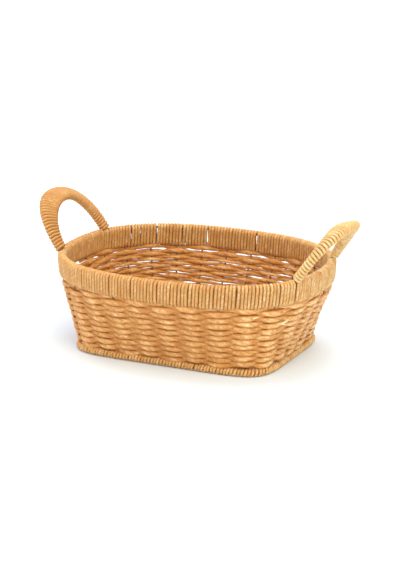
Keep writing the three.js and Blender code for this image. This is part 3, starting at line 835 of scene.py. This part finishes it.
def wind_hoop(outline, profile, turns_per_bay, partings, usual_parting, seed):
    """Partings, by their stake, are (gap in mm, turns from the stake to the gap outside)."""
    steps = len(profile)
    bay = outline.length / STAKES
    half = max(offset for offset, z in profile)
    early, lift_share = 2, 0.6  # early: turns from the gap inside to the stake
    path = []
    for i in range(turns_per_bay * STAKES * steps + 1):
        turn = i / steps
        offset, z = profile[i % steps]
        stake = math.floor((turn + early) / turns_per_bay + 0.5)
        gap, outer_turn = partings.get(stake % STAKES, usual_parting)
        outer_move = opened(turn, stake * turns_per_bay + outer_turn, gap)
        inner_move = opened(turn, stake * turns_per_bay - early, gap)
        share = min(max(0.5 + offset / half / 2, 0), 1)
        move = inner_move + (outer_move - inner_move) * share
        uneven = wobble(math.floor(turn) * 0.73, seed, 0.5, 0.10) + wobble(i * 0.11, seed, 3.5, 0.05)
        fraction = (turn / turns_per_bay + 0.5 + uneven / turns_per_bay + move / bay) / STAKES
        lift = wobble(math.floor(turn) * 1.31, seed, 8.5, 0.35)
        ahead = outline.on(fraction + 1e-3) - outline.on(fraction - 1e-3)
        point = outline.at(fraction, offset + math.copysign(lift, offset) * lift_share, z)
        # Paler towards the right end: painted light.
        path.append((point, 1.0, ahead.normalized(), 0.5 + brighter(point)))
    return path


print("the next turns beside a 2 mm gap move", opened(0, 0, 2), opened(1, 0, 2), "mm")

# %% [markdown]
# ## The rim and the foot
#
# The band of the rim narrows outside towards its lower edge, where the cord is drawn in. The partings
# could be left to chance, but the wide ones were read off the photograph, each by the number of its stake.

# %% The wound rim and foot
RIM_CORD = 4.6
outer_taper, taper_curve, pulled_in = 2.2, 1.3, 0.6
rim_half = band_cavity / 2 + WRAP_CORD - pulled_in
rim_low, rim_high = band_bottom + RIM_CORD / 2, HEIGHT - RIM_CORD / 2
rim_shape = rounded_rectangle(rim_half - RIM_CORD / 2, rim_low, rim_high, corner=3.6)
rim_profile = []
for offset, z in even_steps(rim_shape, 44):
    taper = outer_taper * ((HEIGHT - z) / BAND_HEIGHT) ** taper_curve if offset > 0 else 0
    rim_profile.append((offset - taper, z))
rim_partings = {6: (2.2, -1), 8: (1.8, -1), 9: (0.9, -2), 10: (1.8, -2), 11: (1.0, 0), 12: (1.0, 0)}
rim_partings |= {19: (1.2, 0), 20: (1.3, -1), 21: (1.8, -1), 22: (1.1, 0), 23: (0.8, -1), 24: (2.0, -3)}
rim_partings |= {25: (0.9, 1), 26: (1.8, -2), 27: (1.6, -4)}
foot_partings = {22: (1.8, 0), 23: (1.2, 0)}
rim_turns, foot_turns = 8, 7  # in each bay
rim_path = wind_hoop(rim_line, rim_profile, rim_turns, rim_partings, (0.5, -2), seed=1.0)
foot_path = wind_hoop(foot_line, foot_profile, foot_turns, foot_partings, (0.5, 0), seed=5.0)

stalk_sizes = dict(Stalks=3, Lobe_depth=0.1, Sides=8)
rim_sizes = dict(Diameter=RIM_CORD * MM, Lay_length=16 * MM, Step=2.0 * MM, Unevenness=0.16, Seed=3.0)
foot_sizes = dict(Diameter=FOOT_CORD * MM, Lay_length=15 * MM, Step=1.6 * MM, Unevenness=0.16, Seed=5.0)
slot = "wrapped_straw"
lay_cords("wound_rim", [rim_path], ["rim_wrap"], slot, wound_straw, **rim_sizes, **stalk_sizes)
lay_cords("wound_foot", [foot_path], ["foot_wrap"], slot, wound_straw, **foot_sizes, **stalk_sizes)
print("rim and foot:", triangles["wound_rim"], triangles["wound_foot"], "triangles")

# %% [markdown]
# ## The arches of the handles
#
# Each handle is two wire arches that lean out over the end of the basket. They stand close together at
# the rim and spread towards the crown, and the strap that they make turns about half way over as it
# rises. Two separate curves would be hard to keep apart. So there is one middle line with a frame on it,
# which says which way the strap is wide and thick, and how far the wires spread.

# %% The frame of a handle
HANDLE_SPAN, HANDLE_REACH, HANDLE_ROUNDNESS = 114.5, 67, 2.22
HANDLE_LEAN, HANDLE_SPREAD_SHARPNESS = math.radians(33.5), 1.5
HANDLE_FOOT_TURN, HANDLE_CROWN_TURN = math.radians(88), math.radians(47)
HANDLE_WIRE, HANDLE_WIDTH, HANDLE_CORD_THICKNESS = 3.4, 28, 3.4


def arch_points(samples=1200):
    points = []
    for i in range(samples + 1):
        angle = math.pi * i / samples
        across = -power(math.cos(angle), 2 / HANDLE_ROUNDNESS)
        rise = abs(math.sin(angle)) ** (2 / HANDLE_ROUNDNESS)
        points.append(Vector((across * HANDLE_SPAN / 2, rise * HANDLE_REACH, 0)))
    return points


arch = Route(arch_points())
wire_to_cord = HANDLE_WIRE / 2 + 3.6 * CLEARANCE + HANDLE_CORD_THICKNESS / 2
feet_spread = HANDLE_WIRE / 2 + CLEARANCE / 2 + 0.05
crown_spread = HANDLE_WIDTH / 2 - wire_to_cord / math.cos(math.pi / 6) - HANDLE_CORD_THICKNESS / 2
wire_foot_z = top_hoop_z + HOOP_WIRE / 2 + CLEARANCE + HANDLE_WIRE / 2 * math.sin(HANDLE_LEAN)
foot_share = (1 - (HANDLE_SPAN / RIM_WIDTH) ** RIM_ROUNDNESS) ** (1 / RIM_ROUNDNESS)


def handle_frame(end, share):
    """The frame a share of the way over the arch at one end: -1 is left, and 1 is right."""
    share = min(max(share, 0.0), 1.0)
    lean_out = Vector((end * math.sin(HANDLE_LEAN), 0, math.cos(HANDLE_LEAN)))
    inward = Vector((-end * math.cos(HANDLE_LEAN), 0, math.sin(HANDLE_LEAN)))
    foot = Vector((end * RIM_LENGTH / 2 * foot_share, 0, wire_foot_z))
    last = 0.99999
    here = arch.on(min(share, last))
    flat = (arch.on(min(share + 1e-3, last)) - arch.on(max(share - 1e-3, 0.0))).normalized()
    middle = foot + lean_out * here.y + Vector((0, here.x, 0))
    direction = lean_out * flat.y + Vector((0, flat.x, 0))
    rise = math.sin(math.pi * share)
    turn = -end * (HANDLE_FOOT_TURN + (HANDLE_CROWN_TURN - HANDLE_FOOT_TURN) * rise ** 2)
    wide = inward * math.cos(turn) + direction.cross(inward) * math.sin(turn)
    thick = direction.cross(wide).normalized()
    spread = feet_spread + (crown_spread - feet_spread) * rise ** HANDLE_SPREAD_SHARPNESS
    return middle, direction, wide, thick, spread


print("an arch is %.0f mm long, and its wires spread %.1f mm" % (arch.length, 2 * crown_spread))

# %% [markdown]
# ## The winding of a handle
#
# One cord is wound round both arches, from foot to foot. A turn could be an ellipse, but that would bulge
# between the wires. It is squarer, so that the strap is flat where it is gripped. The right handle's straw
# is painted paler and the left's a little darker, as painted light from the right.


# %% The handles' wires and windings
def handle_winding(end, turns=48, steps=22):
    """A helix round both wires, from just over the rim at one foot to the other foot."""
    above_rim, beyond_wire, half_thick, squareness = 2.6, 4.4, 3.7, 0.72
    start = above_rim / arch.length
    wider_at_crown, thicker_at_crown = 0.6, 0.3
    path = []
    for i in range(turns * steps + 1):
        turn = i / steps
        loose = wobble(math.floor(turn) * 0.9, end, 4.0, 0.2)
        middle, direction, wide, thick, spread = handle_frame(end, start + (1 - 2 * start) * turn / turns)
        angle = -end * 2 * math.pi * turn
        crown = math.sin(math.pi * turn / turns)
        out = power(math.cos(angle), squareness) * (spread + beyond_wire + wider_at_crown * crown + loose)
        up = power(math.sin(angle), squareness) * (half_thick + thicker_at_crown * crown + loose)
        # The right handle is painted paler than the left: painted light.
        path.append((middle + wide * out + thick * up, 1.0, direction, 0.25 + 0.25 * end))
    return path


HANDLE_CORD, wire_steps = 4.5, 28
handle_sizes = dict(Diameter=HANDLE_CORD * MM, Lay_length=15 * MM, Step=1.7 * MM, Unevenness=0.14)
for side, end, finish in (("left", -1, wound_straw), ("right", 1, lit_wound_straw)):
    frames = [handle_frame(end, i / wire_steps) for i in range(wire_steps + 1)]
    for which, hand in (("inner", 1), ("outer", -1)):
        path = [middle + wide * (hand * spread) for middle, direction, wide, thick, spread in frames]
        round_wire("handle_%s_wire_%s" % (which, side), path, HANDLE_WIRE)
    name = "handle_winding_" + side
    path = handle_winding(end)
    sizes = dict(Seed=11.0 + end, **handle_sizes, **stalk_sizes)
    lay_cords("straw_" + name, [path], [name], slot, finish, **sizes)
print("each handle's winding:", triangles["straw_handle_winding_left"], "triangles")

# %% [markdown]
# ## The base
#
# The base is woven before the stakes are bent up. Doubled cords go over and under the wires that cross
# the base, between the long wires, and single cords fill the edges. For this one picture a plate would
# do, but the basket can be seen from any side.


# %% Rows of the base
BASE_STRANDS_PER_BAY, EDGE_STRANDS = 4, 2
end_inset = foot_inset + FOOT_BEND + CLEARANCE


def base_rows():
    """One (distance from the middle line, width, cords) for each strand, from the front to the back."""
    long_wires = [wall_point(stake_fraction(i), long_wire_z).y for i in range(END_STAKES // 2)]
    keep_off = STAKE_WIRE / 2 + CLEARANCE
    edges = [-long_wires[0], *long_wires]
    rows = []
    for low, high in zip(edges, edges[1:]):
        start = low + keep_off
        pitch = (high - keep_off - start) / BASE_STRANDS_PER_BAY
        rows += [(start + pitch * (i + 0.5), pitch - CLEARANCE, 2) for i in range(BASE_STRANDS_PER_BAY)]
    start = edges[-1] + keep_off
    pitch = (FOOT_WIDTH / 2 - foot_inset - 1.5 * FOOT_BEND - start) / EDGE_STRANDS
    rows += [(start + pitch * (i + 0.5), pitch - CLEARANCE, 1) for i in range(EDGE_STRANDS)]
    mirrored = [(-y, width, count) for y, width, count in rows[BASE_STRANDS_PER_BAY:]]
    return mirrored[::-1] + rows


print("strands of the base:", len(base_rows()))

# %% [markdown]
# ## Laying the strands
#
# A strand could be a sine wave, but the wires are not evenly spaced. So it is set out from knots, one at
# each wire that it crosses, over and under by turns, and it eases up and down between them.


# %% Base strands
def base_cord(y, reach_y, number, seed):
    share = reach_y / (FOOT_WIDTH / 2 - end_inset)
    end = (FOOT_LENGTH / 2 - end_inset) * (1 - share**FOOT_ROUNDNESS) ** (1 / FOOT_ROUNDNESS)
    swing = STAKE_WIRE / 2 + CLEARANCE + (CORD - 2 * CLEARANCE) / 2
    knots = [(-end, 0.0)]
    for i, x in enumerate(cross_xs):
        if abs(x) < end - CORD / 2:
            knots.append((x, swing * (1 if (i + number) % 2 == 0 else -1)))
    knots.append((end, 0.0))
    lift, steps = 0.3, 8
    path = []
    for (ax, az), (bx, bz) in zip(knots, knots[1:]):
        for j in range(steps):
            share = j / steps
            ease = (1 - math.cos(math.pi * share)) / 2
            x = ax + (bx - ax) * share
            drift = wobble(x * 0.03, seed, 2.2, 0.3)
            z = cross_wire_z + lift + az + (bz - az) * ease
            path.append((Vector((x, y + drift, z)), 1.0, (0, 1, 0), 0.5))
    path.append((Vector((end, y, cross_wire_z)), 1.0, (0, 1, 0), 0.5))
    return path


side_stakes = range(END_STAKES // 2, END_STAKES // 2 + LONG_SIDE_STAKES)
cross_xs = sorted(wall_point(stake_fraction(stake), cross_wire_z).x for stake in side_stakes)
plump = 1.02
base_sizes = dict(Lay_length=15 * MM, Step=2.0 * MM, Unevenness=0.14, **stalk_sizes)
for number, (y, width, count) in enumerate(base_rows()):
    name = "base_strand_%02d" % (number + 1)
    cord = width / count
    reach_y = abs(y) + width / 2
    offsets = [(k - (count - 1) / 2) * cord for k in range(count)]
    paths = [base_cord(y + offset, reach_y, number, number + offset) for offset in offsets]
    sizes = dict(Diameter=cord * plump * MM, Seed=50.0 + number, **base_sizes)
    lay_cords("straw_" + name, paths, [name], "woven_straw", woven_straw, **sizes)
print("whole basket:", sum(triangles.values()), "triangles; most in one piece", max(triangles.values()))

# %% [markdown]
# ## The paper
#
# The photograph is a plain product shot on white paper. A curved sweep could be built, but a plane looks
# the same. The main lamp is warm and would turn it cream, so the paper that the camera sees is a little
# bluer than the paper that throws light back.

# %% Floor
floor_mesh = bpy.data.meshes.new("floor")
far = 6.0
floor_corners = [(-far, -far, 0), (far, -far, 0), (far, far, 0), (-far, far, 0)]
floor_mesh.from_pydata(floor_corners, [], [(0, 1, 2, 3)])
floor = add_object("floor", floor_mesh)
floor_material, floor_tree = new_material("white paper sweep")
floor_tree.nodes.clear()
bounced = add_node(floor_tree, "ShaderNodeBsdfDiffuse", {"Color": srgb("#EEF4FA")}).outputs[0]
seen_floor = add_node(floor_tree, "ShaderNodeBsdfDiffuse", {"Color": srgb("#E8F2FF")}).outputs[0]
floor_ray = add_node(floor_tree, "ShaderNodeLightPath").outputs["Is Camera Ray"]
floor_mix = add_node(
    floor_tree, "ShaderNodeMixShader", {0: floor_ray, 1: bounced, 2: seen_floor}
).outputs[0]
add_node(floor_tree, "ShaderNodeOutputMaterial", {"Surface": floor_mix})
floor_mesh.materials.append(floor_material)
print("paper: %.0f m square" % (2 * far))

# %% [markdown]
# ## The light
#
# The studio is bright all round. Four soft lamps add to it: a weak one from the left, the main one from
# the front right, a softer one from the front left, and one from above and behind. They could be area
# lamps, but suns light both ends alike, and one angle says how soft the shadow is.

# %% Light
world = bpy.data.worlds.new("white studio")
bpy.context.scene.world = world
world.use_nodes = True
world_tree = world.node_tree
room = world_tree.nodes["Background"]
room.inputs["Color"].default_value = (1, 1, 1, 1)
room.inputs["Strength"].default_value = 0.78
seen = add_node(world_tree, "ShaderNodeLightPath").outputs["Is Camera Ray"]
backdrop = {"Color": (1, 1, 1, 1), "Strength": 1.0}
white_room = add_node(world_tree, "ShaderNodeBackground", backdrop).outputs[0]
shown = add_node(world_tree, "ShaderNodeMixShader", {0: seen, 1: room.outputs[0], 2: white_room}).outputs[0]
world_tree.links.new(shown, world_tree.nodes["World Output"].inputs["Surface"])


def soft_lamp(name, place, spread, strength, color):
    data = bpy.data.lights.new(name, "SUN")
    data.angle = math.radians(spread)
    data.energy = strength
    data.color = srgb(color)[:3]
    lamp = add_object(name, data)
    lamp.location = place
    lamp.rotation_euler = (-Vector(place)).to_track_quat("-Z", "Y").to_euler()


soft_lamp("left lamp", (-1.5, 0.0, 1.0), 50, 0.26, "#FFFCF4")
soft_lamp("right lamp", (0.95, -0.8, 1.5), 50, 1.6, "#FBF5D0")
soft_lamp("front lamp", (-0.3, -1.2, 0.6), 60, 0.5, "#FFFFFF")
soft_lamp("top lamp", (-0.3, 0.5, 1.4), 50, 1.15, "#FFFFFF")
print("lamps:", ", ".join(lamp.name for lamp in bpy.data.lights))

# %% [markdown]
# ## The camera
#
# It stands well back with a long lens, a little above the rim, so that the near long side and the right
# end both show. A camera can be placed by eye, but this one was fitted to the outlines of the rim, the
# foot and the handles.

# %% Camera
AZIMUTH, ELEVATION = math.radians(25.64), math.radians(16.31)
DISTANCE = 2.511
LOOK_AT = Vector((-0.745, 11.77, 74.43)) * MM
FOCAL_PIXELS, PICTURE_HEIGHT, SENSOR = 2002, 570, 36
camera_data = bpy.data.cameras.new("camera")
camera = add_object("camera", camera_data)
level = math.cos(ELEVATION)
away = Vector((math.sin(AZIMUTH) * level, -math.cos(AZIMUTH) * level, math.sin(ELEVATION)))
camera.location = LOOK_AT + away * DISTANCE
camera.rotation_mode = "QUATERNION"
camera.rotation_quaternion = (-away).to_track_quat("-Z", "Y")
camera_data.sensor_width = SENSOR
camera_data.lens = FOCAL_PIXELS / PICTURE_HEIGHT * SENSOR
camera_data.clip_start, camera_data.clip_end = 0.05, 50
bpy.context.scene.camera = camera
bpy.context.scene.view_settings.view_transform = "Standard"
print("lens: %.0f mm" % camera_data.lens)

# %% [markdown]
# ## Bring the scene up to date
#
# Blender brings every piece up to date once more. The dressed basket has to fill the same box as the CAD
# model.

# %% Update the scene
bpy.context.view_layer.update()
